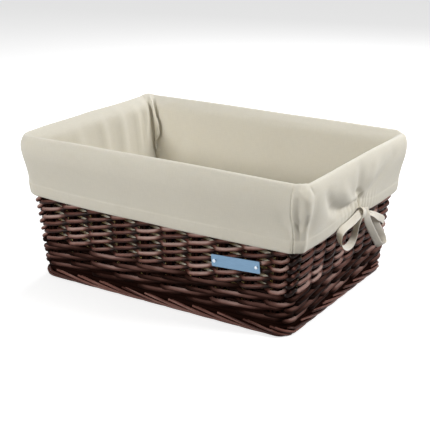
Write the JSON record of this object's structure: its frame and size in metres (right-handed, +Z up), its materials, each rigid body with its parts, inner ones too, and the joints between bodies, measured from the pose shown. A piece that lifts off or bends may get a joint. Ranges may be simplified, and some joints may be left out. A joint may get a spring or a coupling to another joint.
{
  "type": "lined willow basket",
  "caption": "Open rectangular woven willow basket with flared walls, a lift-out cloth liner folded over the rim as a deep flap, and a drawstring tied in a bow at one end.",
  "frame": {"origin": "centre of the footprint on the ground, under the middle of the basket", "axes": "+X towards the end with the tie, -Y towards the long side with the badge, +Z up"},
  "size_m": [0.4188, 0.2898, 0.1842],
  "materials": {
    "willow": "stained dark brown, satin",
    "badge": "brushed, bluish",
    "pin": "polished",
    "cloth": "plain woven cotton, natural",
    "tape": "folded cotton tape, natural"
  },
  "bodies": {
    "basket": {"stakes_corners": "willow", "stakes_front": "willow", "stakes_right": "willow", "stakes_back": "willow", "stakes_left": "willow", "weavers_front": "willow", "weavers_right": "willow", "weavers_back": "willow", "weavers_left": "willow", "waling_front": "willow", "waling_right": "willow", "waling_back": "willow", "waling_left": "willow", "foot_border_front": "willow", "foot_border_right": "willow", "foot_border_back": "willow", "foot_border_left": "willow", "rim_border_front": "willow", "rim_border_right": "willow", "rim_border_back": "willow", "rim_border_left": "willow", "base_sticks": "willow", "base_weavers": "willow", "badge_plate": "badge", "badge_pins": "pin"},
    "liner": {"liner_floor": "cloth", "liner_front": "cloth", "liner_right": "cloth", "liner_back": "cloth", "liner_left": "cloth", "flap_front": "cloth", "flap_right": "cloth", "flap_back": "cloth", "flap_left": "cloth", "hem_casing": "cloth", "drawstring": "tape", "tie_knot": "tape", "tie_loop_left": "tape", "tie_loop_right": "tape", "tie_end": "tape"}
  },
  "joints": [
    {"name": "liner_lift", "type": "slide", "parent": "basket", "child": "liner", "axis": [0, 0, 1], "range_m": [0, 0.2], "deforming": ["flap_front", "flap_right", "flap_back", "flap_left", "hem_casing", "drawstring", "tie_knot", "tie_loop_left", "tie_loop_right", "tie_end"]}
  ]
}
